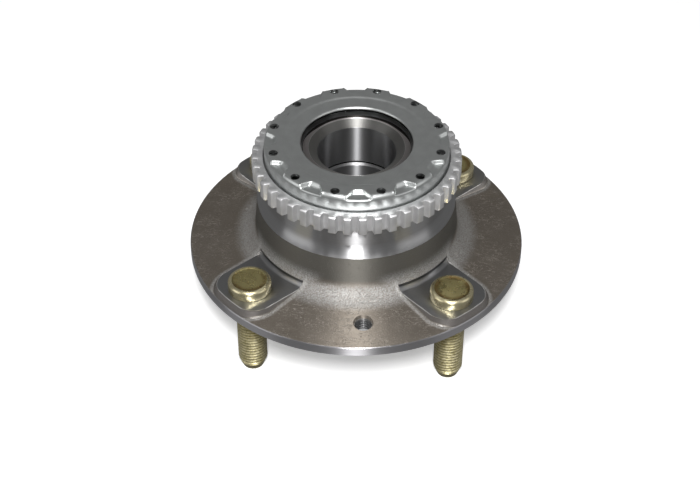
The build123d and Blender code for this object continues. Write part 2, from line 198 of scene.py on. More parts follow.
class Finish:
    """A Principled material, with short names for the nodes that feed it."""

    def __init__(self, name, color, metallic, roughness, anisotropic=0.0):
        self.material = bpy.data.materials.new(name)
        self.material.use_nodes = True
        self.tree = self.material.node_tree
        self.shader = self.tree.nodes["Principled BSDF"]
        self.shader.inputs["Base Color"].default_value = (*color, 1.0)
        self.shader.inputs["Metallic"].default_value = metallic
        self.shader.inputs["Roughness"].default_value = roughness
        self.shader.inputs["Anisotropic"].default_value = anisotropic
        self.coordinates = self.node("ShaderNodeTexCoord").outputs["Object"]

    def node(self, kind, **settings):
        node = self.tree.nodes.new(kind)
        for name, value in settings.items():
            setattr(node, name, value)
        return node

    def feed(self, socket, value):
        """Links an output into a socket, or sets the socket to a plain value."""
        if isinstance(value, bpy.types.NodeSocket):
            self.tree.links.new(value, socket)
        else:
            socket.default_value = value

    def math(self, operation, first, second=0.0):
        node = self.node("ShaderNodeMath", operation=operation)
        self.feed(node.inputs[0], first)
        self.feed(node.inputs[1], second)
        return node.outputs[0]

    def times(self, product, *others):
        for other in others:
            product = self.math("MULTIPLY", product, other)
        return product

    def plus(self, first, second):
        return self.math("ADD", first, second)

    def minus(self, first, second):
        return self.math("SUBTRACT", first, second)

    def outside(self, mask):
        """1 where a mask is 0, and 0 where it is 1."""
        return self.minus(1.0, mask)

    def size(self, value):
        return self.math("ABSOLUTE", value)

    def larger(self, first, second):
        return self.math("MAXIMUM", first, second)

    def length(self, first, second):
        """Length of a step with these two sides."""
        return self.math("SQRT", self.plus(self.times(first, first), self.times(second, second)))

    def axes(self):
        """X, Y and Z of a point in the row frame, in metres."""
        node = self.node("ShaderNodeSeparateXYZ")
        self.feed(node.inputs[0], self.coordinates)
        return node.outputs[0], node.outputs[1], node.outputs[2]

    def radius(self):
        """Distance of a point from the axis of rotation."""
        x, y, _ = self.axes()
        return self.length(x, y)

    def step(self, value, start, full):
        """0 up to the start, 1 from full on and smooth between them, in either direction."""
        node = self.node("ShaderNodeMapRange", interpolation_type="SMOOTHSTEP")
        self.feed(node.inputs["Value"], value)
        self.feed(node.inputs["From Min"], start)
        self.feed(node.inputs["From Max"], full)
        return node.outputs["Result"]

    def near(self, value, place, start, full):
        """A step of the distance from a place."""
        return self.step(self.size(self.minus(value, place)), start, full)

    def span(self, value, low, high):
        """A value between 0 and 1 spread from low to high."""
        node = self.node("ShaderNodeMapRange")
        self.feed(node.inputs["Value"], value)
        self.feed(node.inputs["To Min"], low)
        self.feed(node.inputs["To Max"], high)
        return node.outputs["Result"]

    def stretched(self, x, y, z):
        """The point's coordinates scaled on each axis, for streaks."""
        node = self.node("ShaderNodeMapping")
        self.feed(node.inputs["Vector"], self.coordinates)
        self.feed(node.inputs["Scale"], (x, y, z))
        return node.outputs[0]

    def turned_coordinates(self):
        """Coordinates that change with radius and height but not around the axis."""
        _, _, z = self.axes()
        node = self.node("ShaderNodeCombineXYZ")
        self.feed(node.inputs[0], self.radius())
        self.feed(node.inputs[2], z)
        return node.outputs[0]

    def noise(self, scale, detail=4.0, roughness=0.55, distortion=0.0, at=None):
        node = self.node("ShaderNodeTexNoise")
        self.feed(node.inputs["Vector"], at or self.coordinates)
        self.feed(node.inputs["Scale"], scale)
        self.feed(node.inputs["Detail"], detail)
        self.feed(node.inputs["Roughness"], roughness)
        self.feed(node.inputs["Distortion"], distortion)
        return node.outputs[0]

    def turning_marks(self, scale):
        """Fine rings around the axis."""
        return self.noise(scale, detail=2.0, at=self.turned_coordinates())

    def ridges(self, scale, at, width):
        """Thin winding lines, where a noise crosses its middle value."""
        value = self.noise(scale, detail=3.0, distortion=0.6, at=at)
        return self.near(value, 0.5, width, 0.0)

    def blend(self, factor, first, second):
        """Mix of two colours."""
        node = self.node("ShaderNodeMix", data_type="RGBA")
        self.feed(node.inputs[0], factor)
        for socket, value in ((node.inputs[6], first), (node.inputs[7], second)):
            self.feed(socket, (*value, 1.0) if isinstance(value, tuple) else value)
        return node.outputs[2]

    def coat(self, below, mask, share, color):
        """Covers a share of what is below with a colour, where the mask is 1."""
        return self.blend(self.times(mask, share), below, color)

    def color(self, value):
        self.feed(self.shader.inputs["Base Color"], value)

    def metallic(self, value):
        self.feed(self.shader.inputs["Metallic"], value)

    def roughness(self, value):
        self.feed(self.shader.inputs["Roughness"], value)

    def bump(self, height, depth, strength, over=None):
        """Adds a bump of the given depth, on top of an earlier one."""
        node = self.node("ShaderNodeBump")
        self.feed(node.inputs["Height"], height)
        self.feed(node.inputs["Distance"], depth)
        self.feed(node.inputs["Strength"], strength)
        if over is not None:
            self.feed(node.inputs["Normal"], over)
        return node.outputs[0]

    def normal(self, value):
        self.feed(self.shader.inputs["Normal"], value)

    def brushed_around(self):
        """Turning marks run around the axis, so highlights spread across them."""
        tangent = self.node("ShaderNodeTangent", direction_type="RADIAL", axis="Z")
        self.feed(self.shader.inputs["Tangent"], tangent.outputs[0])
        self.shader.inputs["Anisotropic Rotation"].default_value = QUARTER_TURN


# In the finishes below, a noise is its scale, detail and roughness, an edge is where a zone
# starts and where it is full, a coat is its share and colour, and a bump is its depth and strength.

# Turned and milled faces of the hub
HUB_COLOR = (0.4, 0.38, 0.36)
HUB_ROUGHNESS = 0.35
HUB_METALLIC = (1.0, 0.72)
HUB_TURNING = 3200.0
STEEL_DARK = (0.385, 0.385, 0.39)
STEEL_LIGHT = (0.50, 0.50, 0.505)
STEEL_ROUGHNESS = (0.30, 0.38)
STEEL_BUMP = (0.008 * MM, 0.7)
RIM_EDGE = (68.9 * MM, 69.1 * MM)
RIM_DARK = (0.46, 0.455, 0.47)
RIM_LIGHT = (0.56, 0.55, 0.57)
RIM_POLISH = -0.02
PAD_FLOOR_EDGE = (0.2 * MM, 0.05 * MM)
PAD_FLOOR_COAT = (0.6, (0.29, 0.29, 0.292))
HOLE_EDGE = (3.45 * MM, 3.35 * MM)
# Painted shade inside the puller holes
HOLE_SHADE_COAT = (0.8, (0.10, 0.10, 0.10))
TAP_BUMP = (0.35 * MM, 1.0)
# Painted shade along the top of the pads' milled walls
WALL_SHADE_LOW = (8.9 * MM, 9.4 * MM)
WALL_SHADE_HIGH = (12.5 * MM, 12.0 * MM)
WALL_SHADE_COAT = (0.8, (0.08, 0.08, 0.08))

# Thin painted highlight along the edge of a milled pad
PAD_GLINT_INNER = (-0.20 * MM, -0.05 * MM)
PAD_GLINT_OUTER = (0.20 * MM, 0.05 * MM)
PAD_GLINT_LOW = (PAD_HEIGHT - 0.6 * MM, PAD_HEIGHT - 0.3 * MM)
PAD_GLINT_HIGH = (PAD_HEIGHT + 0.3 * MM, PAD_HEIGHT + 0.1 * MM)
PAD_GLINT_COAT = (0.55, (0.85, 0.85, 0.84))

# Where the forged skin ends
FORGED_RIM = (RIM_HEIGHT - 0.35 * MM, RIM_HEIGHT - 0.05 * MM)
FORGED_SHOULDER = (FORGED_TOP + 0.1 * MM, FORGED_TOP - 0.1 * MM)
FORGED_INSIDE = (40.2 * MM, 40.4 * MM)
FORGED_HOLE = (3.3 * MM, 3.6 * MM)
MILLED_FLOOR = (0.08 * MM, 0.03 * MM)
MILLED_SIDE = (0.10 * MM, -0.05 * MM)
MILLED_WALL_OUTER = (44.9 * MM, 44.6 * MM)
MILLED_WALL_INNER = (42.65 * MM, 42.72 * MM)
MILLED_WALL_SIDE = (PAD_HALF_WIDTH, PAD_HALF_WIDTH - 0.1 * MM)

# Forged skin: mottled scale with grain, pits and winding marks, darker up the barrel
SKIN_DARK = (0.170, 0.145, 0.118)
SKIN_LIGHT = (0.265, 0.235, 0.200)
SKIN_MOTTLE = (85.0, 6.0, 0.65)
SKIN_ROUGHNESS = (0.50, 0.68)
SKIN_BUMP = (0.14 * MM, 0.9)
GRAIN_NOISE = (1700.0, 4.0, 0.65)
GRAIN_EDGE = (0.52, 0.72)
GRAIN_COAT = (0.40, (0.42, 0.39, 0.355))
PIT_NOISE = (800.0, 3.0)
PIT_EDGE = (0.62, 0.74)
PIT_COAT = (0.35, (0.11, 0.095, 0.08))
MARK_SCALE = 520.0
MARK_STRETCH = (0.5, 1.4, 1.4)
MARK_WIDTH = 0.018
MARK_PATCHES = (120.0, 2.0)
MARK_PATCH_EDGE = (0.38, 0.56)
MARK_FADE = (13.0 * MM, 10.0 * MM)
MARK_COAT = (0.55, (0.55, 0.51, 0.46))
TALL_EDGE = (11.0 * MM, 15.0 * MM)
TALL_COAT = (0.80, (0.095, 0.094, 0.085))
TALL_ROUGHER = 0.06
GRAIN_RELIEF = 0.6
MARK_RELIEF = 0.7
PIT_RELIEF = 0.5
MOTTLE_RELIEF = 0.7
FOOT_RELIEF = 1.6

# Pale, blasted feet of the barrel and of the pads, lightened partly as a painted highlight
FOOT_TOP = (13.5 * MM, 10.0 * MM)
FOOT_REACH = (52.0 * MM, 46.5 * MM)
FOOT_BESIDE_PAD = (22.0 * MM, 15.0 * MM)
FOOT_TOP_BY_PAD = (18.0 * MM, 12.0 * MM)
BARREL_FOOT_PALE_AND_HIGHLIGHT = (0.46, 0.455, 0.445)
FOOT_SHARE = 0.75
FOOT_SHINE = 0.22
PAD_FOOT_INNER = (-0.2 * MM, 0.3 * MM)
PAD_FOOT_OUTER = (2.3 * MM, 0.8 * MM)
PAD_FOOT_TOP = (PAD_HEIGHT + 6.0 * MM, PAD_HEIGHT + 3.0 * MM)
PAD_FOOT_PALE_AND_HIGHLIGHT = (0.54, 0.53, 0.515)
SPECKLE_EDGE = (0.38, 0.62)
SPECKLE_GAIN = 0.55
SPECKLE_LEAST = 0.33
PAD_WALL_LOW = (0.05 * MM, -0.25 * MM)
PAD_WALL_HIGH = (0.0, 0.15 * MM)
PAD_WALL_COAT = (0.8, (0.155, 0.147, 0.143))
PAD_WALL_DULLER = 0.40


def pad_side(f):
    """Distance from the middle line of the nearest pad, the same at all four."""
    x, y, _ = f.axes()
    side = f.minus(f.size(x), f.size(y))
    return f.size(f.times(side, 0.5**0.5))


def pad_distance(f, side):
    """Distance outside the outline of a stud pad, which follows the rim at its end."""
    past_end = f.minus(f.radius(), PAD_EDGE_RADIUS - PAD_CORNER)
    past_side = f.minus(side, PAD_HALF_WIDTH - PAD_CORNER)
    corner = f.length(f.larger(past_end, 0.0), f.larger(past_side, 0.0))
    inner = f.math("MINIMUM", f.larger(past_end, past_side), 0.0)
    return f.minus(f.plus(corner, inner), PAD_CORNER)


def hole_distance(f, x, y):
    """Distance from the middle of the nearest puller hole."""
    angle = radians(PULLER_HOLE_ANGLE)
    along = f.plus(f.times(x, cos(angle)), f.times(y, sin(angle)))
    across = f.minus(f.times(y, cos(angle)), f.times(x, sin(angle)))
    return f.length(f.minus(f.size(along), STUD_CIRCLE_RADIUS), across)


def beyond_pad_wall(f, pad_gap):
    """Distance outside the foot of a pad's leaning wall, on the sloping flange."""
    slope = f.times(f.minus(FLANGE_RADIUS, f.radius()), FLANGE_RISE)
    drop = f.minus(PAD_HEIGHT, f.plus(slope, RIM_HEIGHT))
    wall = f.larger(f.times(drop, PAD_WALL_LEAN), 0.0)
    return f.minus(pad_gap, wall)


def forged_mask(f, pad_gap, side):
    """1 on the forged skin and 0 where a tool has cut the hub."""
    x, y, z = f.axes()
    r = f.radius()
    floor = f.times(f.near(z, PAD_HEIGHT, *MILLED_FLOOR), f.step(pad_gap, *MILLED_SIDE))
    wall = f.times(f.step(r, *MILLED_WALL_OUTER), f.step(r, *MILLED_WALL_INNER))
    wall = f.times(wall, f.step(side, *MILLED_WALL_SIDE))
    return f.times(
        f.step(z, *FORGED_RIM),
        f.step(z, *FORGED_SHOULDER),
        f.step(r, *FORGED_INSIDE),
        f.step(hole_distance(f, x, y), *FORGED_HOLE),
        f.outside(floor),
        f.outside(wall),
    )


def scale_marks(f, z):
    """Winding marks, in patches of the flange's skin."""
    marks = f.ridges(MARK_SCALE, f.stretched(*MARK_STRETCH), MARK_WIDTH)
    patches = f.step(f.noise(*MARK_PATCHES), *MARK_PATCH_EDGE)
    return f.times(marks, patches, f.step(z, *MARK_FADE))


def barrel_foot(f, z, side):
    """1 on the foot of the barrel, which reaches higher beside the pads."""
    by_pad = f.times(f.step(side, *FOOT_BESIDE_PAD), f.step(z, *FOOT_TOP_BY_PAD))
    band = f.larger(f.step(z, *FOOT_TOP), by_pad)
    return f.times(band, f.step(f.radius(), *FOOT_REACH))


def pad_foot(f, z, beyond):
    """1 on the line around the foot of a pad."""
    line = f.times(f.step(beyond, *PAD_FOOT_INNER), f.step(beyond, *PAD_FOOT_OUTER))
    return f.times(line, f.step(z, *PAD_FOOT_TOP))


def forged_skin(f, pad_gap, side, grain, tall):
    """Colour, relief and shine of the blasted forging."""
    _, _, z = f.axes()
    marks = scale_marks(f, z)
    mottle = f.noise(*SKIN_MOTTLE)
    pits = f.step(f.noise(*PIT_NOISE), *PIT_EDGE)
    skin = f.blend(mottle, SKIN_DARK, SKIN_LIGHT)
    skin = f.coat(skin, pits, *PIT_COAT)
    skin = f.coat(skin, f.step(grain, *GRAIN_EDGE), *GRAIN_COAT)
    skin = f.coat(skin, marks, *MARK_COAT)
    skin = f.coat(skin, tall, *TALL_COAT)

    beyond = beyond_pad_wall(f, pad_gap)
    around_barrel = barrel_foot(f, z, side)
    around_pad = pad_foot(f, z, beyond)
    speckle = f.plus(f.times(f.step(grain, *SPECKLE_EDGE), SPECKLE_GAIN), SPECKLE_LEAST)
    # The feet are paler for their blasting, and partly as a painted highlight
    skin = f.blend(f.times(around_barrel, speckle), skin, BARREL_FOOT_PALE_AND_HIGHLIGHT)
    skin = f.blend(f.times(around_pad, speckle), skin, PAD_FOOT_PALE_AND_HIGHLIGHT)
    foot = f.larger(around_pad, f.times(around_barrel, FOOT_SHARE))
    on_wall = f.times(f.step(beyond, *PAD_WALL_LOW), f.step(pad_gap, *PAD_WALL_HIGH))
    skin = f.coat(skin, on_wall, *PAD_WALL_COAT)
    shine = f.minus(f.times(foot, FOOT_SHINE), f.times(on_wall, PAD_WALL_DULLER))

    height = f.plus(f.times(grain, GRAIN_RELIEF), f.times(marks, MARK_RELIEF))
    height = f.minus(height, f.times(pits, PIT_RELIEF))
    height = f.plus(height, f.times(mottle, MOTTLE_RELIEF))
    height = f.plus(height, f.times(foot, grain, FOOT_RELIEF))
    return skin, height, shine


def cut_steel(f, z, rings, on_rim, in_hole):
    """Colour of the hub's turned, milled and drilled faces, with painted shade in the puller holes and
    along the top of the pads' milled walls.
    """
    steel = f.blend(rings, STEEL_DARK, STEEL_LIGHT)
    steel = f.coat(steel, f.near(z, PAD_HEIGHT, *PAD_FLOOR_EDGE), *PAD_FLOOR_COAT)
    steel = f.blend(on_rim, steel, f.blend(rings, RIM_DARK, RIM_LIGHT))
    # Painted shade inside the puller holes
    steel = f.coat(steel, in_hole, *HOLE_SHADE_COAT)
    # Painted shade along the top of the pads' milled walls
    wall_shade = f.times(f.step(z, *WALL_SHADE_LOW), f.step(z, *WALL_SHADE_HIGH))
    return f.coat(steel, wall_shade, *WALL_SHADE_COAT)


def pad_edge_highlight(f, z, pad_gap):
    """1 on the edge of a milled pad, where a painted highlight goes."""
    edge = f.times(f.step(pad_gap, *PAD_GLINT_INNER), f.step(pad_gap, *PAD_GLINT_OUTER))
    return f.times(edge, f.step(z, *PAD_GLINT_LOW), f.step(z, *PAD_GLINT_HIGH))


def hub_finish():
    """Forged skin with turned, milled and drilled faces."""
    f = Finish("hub_steel", HUB_COLOR, 1.0, HUB_ROUGHNESS, anisotropic=1.0)
    f.brushed_around()
    x, y, z = f.axes()
    side = pad_side(f)
    pad_gap = pad_distance(f, side)
    forged = forged_mask(f, pad_gap, side)
    bare = f.outside(forged)
    grain = f.noise(*GRAIN_NOISE)
    tall = f.step(z, *TALL_EDGE)
    skin, height, shine = forged_skin(f, pad_gap, side, grain, tall)
    rings = f.turning_marks(HUB_TURNING)
    on_rim = f.step(f.radius(), *RIM_EDGE)
    in_hole = f.step(hole_distance(f, x, y), *HOLE_EDGE)
    steel = cut_steel(f, z, rings, on_rim, in_hole)
    # Painted highlight along the edges of the milled pads
    f.color(f.coat(f.blend(forged, steel, skin), pad_edge_highlight(f, z, pad_gap), *PAD_GLINT_COAT))
    f.metallic(f.span(forged, *HUB_METALLIC))

    steel_rough = f.plus(f.span(rings, *STEEL_ROUGHNESS), f.times(on_rim, RIM_POLISH))
    skin_rough = f.plus(f.span(grain, *SKIN_ROUGHNESS), f.times(tall, TALL_ROUGHER))
    skin_rough = f.minus(skin_rough, shine)
    f.roughness(f.plus(f.times(forged, skin_rough), f.times(bare, steel_rough)))
    normal = f.bump(f.times(forged, height), *SKIN_BUMP)
    normal = f.bump(f.times(rings, bare), *STEEL_BUMP, over=normal)
    tapped = f.math("DIVIDE", f.math("PINGPONG", z, HOLE_PITCH / 2), HOLE_PITCH / 2)
    f.normal(f.bump(f.times(tapped, in_hole), *TAP_BUMP, over=normal))
    return f.material


# Turned small parts
TURNED_SPREAD = 0.6
TURNED_MARKS = 3000.0
TURNED_STAIN = (150.0, 3.0)
TURNED_ROUGHNESS = (0.8, 1.3)
TURNED_BUMP = (0.004 * MM, 0.6)


def turned_finish(name, dark, light, rough):
    """Ground or turned steel with marks that run around the axis."""
    f = Finish(name, light, 1.0, rough, anisotropic=TURNED_SPREAD)
    f.brushed_around()
    rings = f.turning_marks(TURNED_MARKS)
    f.color(f.blend(f.times(f.plus(rings, f.noise(*TURNED_STAIN)), 0.5), dark, light))
    smoothest, roughest = TURNED_ROUGHNESS
    f.roughness(f.span(rings, rough * smoothest, rough * roughest))
    f.normal(f.bump(rings, *TURNED_BUMP))
    return f.material


# Inner rings: matt end face and lead-in, ground bore painted dark as shade, painted shade at the outer
# corner and in the joint, painted highlight at the lead-in's corner
RING_COLOR = (0.6, 0.58, 0.57)
RING_TURNING = 3000.0
RING_DARK = (0.60, 0.565, 0.555)
RING_LIGHT = (0.72, 0.68, 0.67)
RING_BASE_ROUGHNESS = 0.42
RING_ROUGHNESS = (0.54, 0.62)
RING_BUMP = (0.003 * MM, 0.5)
MATT_NOISE = (2600.0, 3.0)
MATT_BUMP = (0.05 * MM, 0.8)
# Painted shade at the rings' outer corner, reaching further in on the far side
RING_SHADE_EDGE = (RING_SHADE_RADIUS - 0.1 * MM, RING_SHADE_RADIUS + 0.1 * MM)
RING_SHADE_RUN = 1.6 * MM
RING_SHADE_RUN_SIDE = (14.0 * MM, 2.0 * MM)
RING_SHADE_COLOR = (0.035, 0.032, 0.030)
CHAMFER_EDGE = (JOINT_CHAMFER + 0.1 * MM, JOINT_CHAMFER)
CHAMFER_COLOR = (0.66, 0.66, 0.665)
# Painted shade in the gap where the two rings meet
JOINT_SHADE_EDGE = (0.45 * MM, 0.35 * MM)
JOINT_SHADE_COLOR = (0.01, 0.01, 0.01)
LEAD_EDGE = (LEAD_RADIUS, LEAD_RADIUS - 0.1 * MM)
LEAD_HEIGHT = (LEAD_FOOT, LEAD_FOOT + 0.1 * MM)
LEAD_COAT = (0.75, (0.28, 0.285, 0.27))
# Painted highlight along the corner between the end face and the lead-in
LEAD_CORNER_HIGHLIGHT_EDGE = (0.16 * MM, 0.06 * MM)
LEAD_CORNER_HIGHLIGHT = (0.8, (0.82, 0.80, 0.79))
BORE_EDGE = (BORE_RADIUS + 0.15 * MM, BORE_RADIUS + 0.05 * MM)
# The bore's steel is painted dark as shade inside the bore
BORE_SHADE_COLOR = (0.28, 0.28, 0.285)
BORE_POLISH = 0.18


def ring_finish():
    """Ground bearing steel of the inner rings."""
    f = Finish("ground_ring", RING_COLOR, 1.0, RING_BASE_ROUGHNESS, anisotropic=1.0)
    f.brushed_around()
    _, y, z = f.axes()
    r = f.radius()
    rings = f.turning_marks(RING_TURNING)
    steel = f.blend(rings, RING_DARK, RING_LIGHT)
    # Painted shade at the rings' outer corner, wider on the far side
    run = f.times(f.step(y, *RING_SHADE_RUN_SIDE), RING_SHADE_RUN)
    steel = f.blend(f.step(f.minus(r, run), *RING_SHADE_EDGE), steel, RING_SHADE_COLOR)
    steel = f.blend(f.near(z, RING_JOINT, *CHAMFER_EDGE), steel, CHAMFER_COLOR)
    # Painted shade in the gap where the two inner rings meet
    steel = f.blend(f.near(z, RING_JOINT, *JOINT_SHADE_EDGE), steel, JOINT_SHADE_COLOR)
    at_lead = f.step(z, *LEAD_HEIGHT)
    steel = f.coat(steel, f.times(f.step(r, *LEAD_EDGE), at_lead), *LEAD_COAT)
    # Painted highlight along the corner between the end face and the lead-in
    steel = f.coat(steel, f.times(f.near(r, LEAD_RADIUS, *LEAD_CORNER_HIGHLIGHT_EDGE), at_lead), *LEAD_CORNER_HIGHLIGHT)
    bore = f.step(r, *BORE_EDGE)
    # The bore's steel is painted dark as shade inside the bore
    f.color(f.blend(bore, steel, BORE_SHADE_COLOR))
    f.roughness(f.minus(f.span(rings, *RING_ROUGHNESS), f.times(bore, BORE_POLISH)))
    matt = f.times(f.noise(*MATT_NOISE), f.outside(bore))
    f.normal(f.bump(rings, *RING_BUMP, over=f.bump(matt, *MATT_BUMP)))
    return f.material


# Plated or sintered sheet, with painted shade on the lip inside the cover plate
PLATED_CLOUD = (260.0, 5.0, 0.6)
PLATED_GRAIN = (3120.0, 2.0)
PLATED_ROUGHNESS = (0.85, 1.2)
PLATED_BUMP = (0.01 * MM, 0.35)
LIP_SHADE = (0.03, 0.03, 0.03)
LIP_SHADE_TOP = (PLATE_TOP - 1.3 * MM, PLATE_TOP - 1.6 * MM)
LIP_SHADE_REACH = (LIP_RADIUS + 0.5 * MM, LIP_RADIUS + 0.2 * MM)


def lip_shade_mask(f):
    """1 on the upright wall of the cover plate's lip, which gets painted shade."""
    _, _, z = f.axes()
    return f.times(f.step(f.radius(), *LIP_SHADE_REACH), f.step(z, *LIP_SHADE_TOP))


def plated_finish(name, dark, light, rough, shade=None):
    """Electroplated sheet or sintered metal, faintly cloudy."""
    f = Finish(name, light, 1.0, rough)
    cloud = f.noise(*PLATED_CLOUD)
    plate = f.blend(cloud, dark, light)
    if shade is not None:
        # Painted shade on the upright wall of the lip
        plate = f.blend(shade(f), plate, LIP_SHADE)
    f.color(plate)
    smoothest, roughest = PLATED_ROUGHNESS
    f.roughness(f.span(cloud, rough * smoothest, rough * roughest))
    f.normal(f.bump(f.noise(*PLATED_GRAIN), *PLATED_BUMP))
    return f.material


# Yellow zinc of the studs: stained dish, paler shank with dark speckles, and painted shade in the thread
# roots
ZINC_COLOR = (0.7, 0.62, 0.38)
ZINC_BASE_ROUGHNESS = 0.28
ZINC_DARK = (0.60, 0.52, 0.29)
ZINC_LIGHT = (0.84, 0.78, 0.55)
ZINC_CLOUD = (260.0, 5.0, 0.6)
ZINC_SPOTS = (900.0, 3.0, 0.6)
ZINC_ROUGHNESS = (0.22, 0.34)
ZINC_BUMP = (0.015 * MM, 0.6)
CLOUD_RELIEF = 2.0
SHANK_RELIEF = (1.0, 9.0)
DISH_DARK = (0.44, 0.37, 0.155)
DISH_LIGHT = (0.62, 0.55, 0.27)
DISH_HEIGHT = (HEAD_TOP - 0.5 * MM, HEAD_TOP - 0.3 * MM)
DISH_REACH = (7.3 * MM, 7.0 * MM)
STAIN_INNER = (4.4 * MM, 6.4 * MM)
STAIN_OUTER = (7.2 * MM, 6.9 * MM)
STAIN_NOISE = (190.0, 4.0)
STAIN_PATCH_EDGE = (0.38, 0.54)
STAIN_SPOT_EDGE = (0.62, 0.72)
STAIN_COAT = (0.80, (0.25, 0.155, 0.055))
SHANK_EDGE = (THREAD_TOP + MM, THREAD_TOP)
SHANK_DARK = (0.70, 0.62, 0.34)
SHANK_LIGHT = (0.98, 0.92, 0.66)
SHANK_ROUGHER = 0.09
SHANK_SPECKLE = (1300.0, 3.0)
SHANK_SPECKLE_EDGE = (0.48, 0.62)
SHANK_SPECKLE_COAT = (0.45, (0.38, 0.33, 0.10))
# Painted shade in the thread roots
ROOT_SHADE_EDGE = (5.85 * MM, 5.2 * MM)
ROOT_SHADE_COAT = (0.65, (0.20, 0.16, 0.06))


def stud_distance(f):
    """Distance from the middle of the nearest stud."""
    x, y, _ = f.axes()
    far = f.times(f.plus(f.size(x), f.size(y)), 0.5**0.5)
    return f.length(f.minus(far, STUD_CIRCLE_RADIUS), pad_side(f))


def dish_stain(f, on_top, reach, spots):
    """Brown stain in patches around the dish and in spots all over it."""
    edge = f.times(f.step(reach, *STAIN_INNER), f.step(reach, *STAIN_OUTER))
    patches = f.times(on_top, edge, f.step(f.noise(*STAIN_NOISE), *STAIN_PATCH_EDGE))
    return f.larger(patches, f.times(on_top, f.step(spots, *STAIN_SPOT_EDGE)))


def stud_finish():
    """Yellow zinc plate, with painted shade in the thread roots, and stained around the dish of the head.
    """
    f = Finish("yellow_zinc", ZINC_COLOR, 1.0, ZINC_BASE_ROUGHNESS)
    _, _, z = f.axes()
    reach = stud_distance(f)
    cloud = f.noise(*ZINC_CLOUD)
    spots = f.noise(*ZINC_SPOTS)
    plate = f.blend(cloud, ZINC_DARK, ZINC_LIGHT)
    on_top = f.times(f.step(z, *DISH_HEIGHT), f.step(reach, *DISH_REACH))
    plate = f.blend(on_top, plate, f.blend(cloud, DISH_DARK, DISH_LIGHT))
    plate = f.coat(plate, dish_stain(f, on_top, reach, spots), *STAIN_COAT)
    shank = f.step(z, *SHANK_EDGE)
    plate = f.blend(shank, plate, f.blend(cloud, SHANK_DARK, SHANK_LIGHT))
    speckle = f.times(f.step(f.noise(*SHANK_SPECKLE), *SHANK_SPECKLE_EDGE), shank)
    plate = f.coat(plate, speckle, *SHANK_SPECKLE_COAT)
    # Painted shade in the thread roots
    f.color(f.coat(plate, f.times(f.step(reach, *ROOT_SHADE_EDGE), shank), *ROOT_SHADE_COAT))
    f.roughness(f.plus(f.span(cloud, *ZINC_ROUGHNESS), f.times(shank, SHANK_ROUGHER)))
    relief = f.plus(spots, f.times(cloud, CLOUD_RELIEF))
    f.normal(f.bump(f.times(relief, f.span(shank, *SHANK_RELIEF)), *ZINC_BUMP))
    return f.material


# Rubber and plastic
DULL_GRAIN = (700.0, 4.0)
DULL_BUMP = (0.02 * MM, 0.3)

# Dark colour, light colour and roughness of the plainer pieces
COVER_PLATE = ((0.54, 0.555, 0.55), (0.67, 0.695, 0.685), 0.33)
TONE_RING = ((0.63, 0.63, 0.635), (0.82, 0.82, 0.825), 0.52)
CLIP = ((0.16, 0.17, 0.2), (0.26, 0.27, 0.3), 0.3)
BALLS = ((0.70, 0.70, 0.70), (0.80, 0.80, 0.80), 0.08)
SLINGER = ((0.50, 0.50, 0.50), (0.60, 0.60, 0.60), 0.3)
SEAL_CASE = ((0.40, 0.40, 0.40), (0.50, 0.50, 0.50), 0.35)
SEAL_LIP = ((0.01, 0.01, 0.01), (0.025, 0.025, 0.025), 0.6)
CAGE = ((0.40, 0.33, 0.2), (0.5, 0.42, 0.28), 0.5)


def dull_finish(name, dark, light, rough):
    """Rubber or moulded plastic."""
    f = Finish(name, light, 0.0, rough)
    grain = f.noise(*DULL_GRAIN)
    f.color(f.blend(grain, dark, light))
    f.normal(f.bump(grain, *DULL_BUMP))
    return f.material


def new_object(name, shape, material, sharp):
    """Object from a finished bmesh, smooth apart from edges above the sharp angle."""
    bmesh.ops.recalc_face_normals(shape, faces=shape.faces)
    mesh = bpy.data.meshes.new(name)
    shape.to_mesh(mesh)
    shape.free()
    mesh.materials.append(material)
    mesh.polygons.foreach_set("use_smooth", [True] * len(mesh.polygons))
    mesh.set_sharp_from_angle(angle=radians(sharp))
    thing = bpy.data.objects.new(name, mesh)
    bpy.context.scene.collection.objects.link(thing)
    return thing


def settle(thing, sharp):
    """Keeps the mesh as its modifiers leave it."""
    graph = bpy.context.evaluated_depsgraph_get()
    mesh = bpy.data.meshes.new_from_object(thing.evaluated_get(graph))
    thing.modifiers.clear()
    thing.data = mesh
    mesh.set_sharp_from_angle(angle=radians(sharp))


def stitch(shape, lower, upper):
    """Band of faces between two closed rings of the same length."""
    for here in range(len(lower)):
        after = (here + 1) % len(lower)
        shape.faces.new((lower[here], lower[after], upper[after], upper[here]))


def around(place, radius, angle, height):
    return place + Vector((radius * cos(angle), radius * sin(angle), height))


def thread_radius(height, depth):
    """Radius of the thread at a height, faded out above and cut down at the point."""
    fade = min(max((THREAD_TOP - height) / THREAD_FADE, 0.0), 1.0)
    cone = STUD_RADIUS - POINT_TAPER * max(1.0 - (height - STUD_END) / POINT_HEIGHT, 0.0)
    return min(STUD_RADIUS - depth * fade * THREAD_DEPTH, cone)


def thread_row(shape, place, turns, depth):
    """Corners along one turn of the helix, which starts the given turns above the stud's end."""
    row = []
    for side in range(STUD_SIDES):
        climb = (turns + side / STUD_SIDES) * THREAD_PITCH
        height = min(max(STUD_END + climb, STUD_END), THREAD_TOP)
        radius = thread_radius(height, depth)
        row.append(shape.verts.new(around(place, radius, 2 * pi * side / STUD_SIDES, height)))
    return row


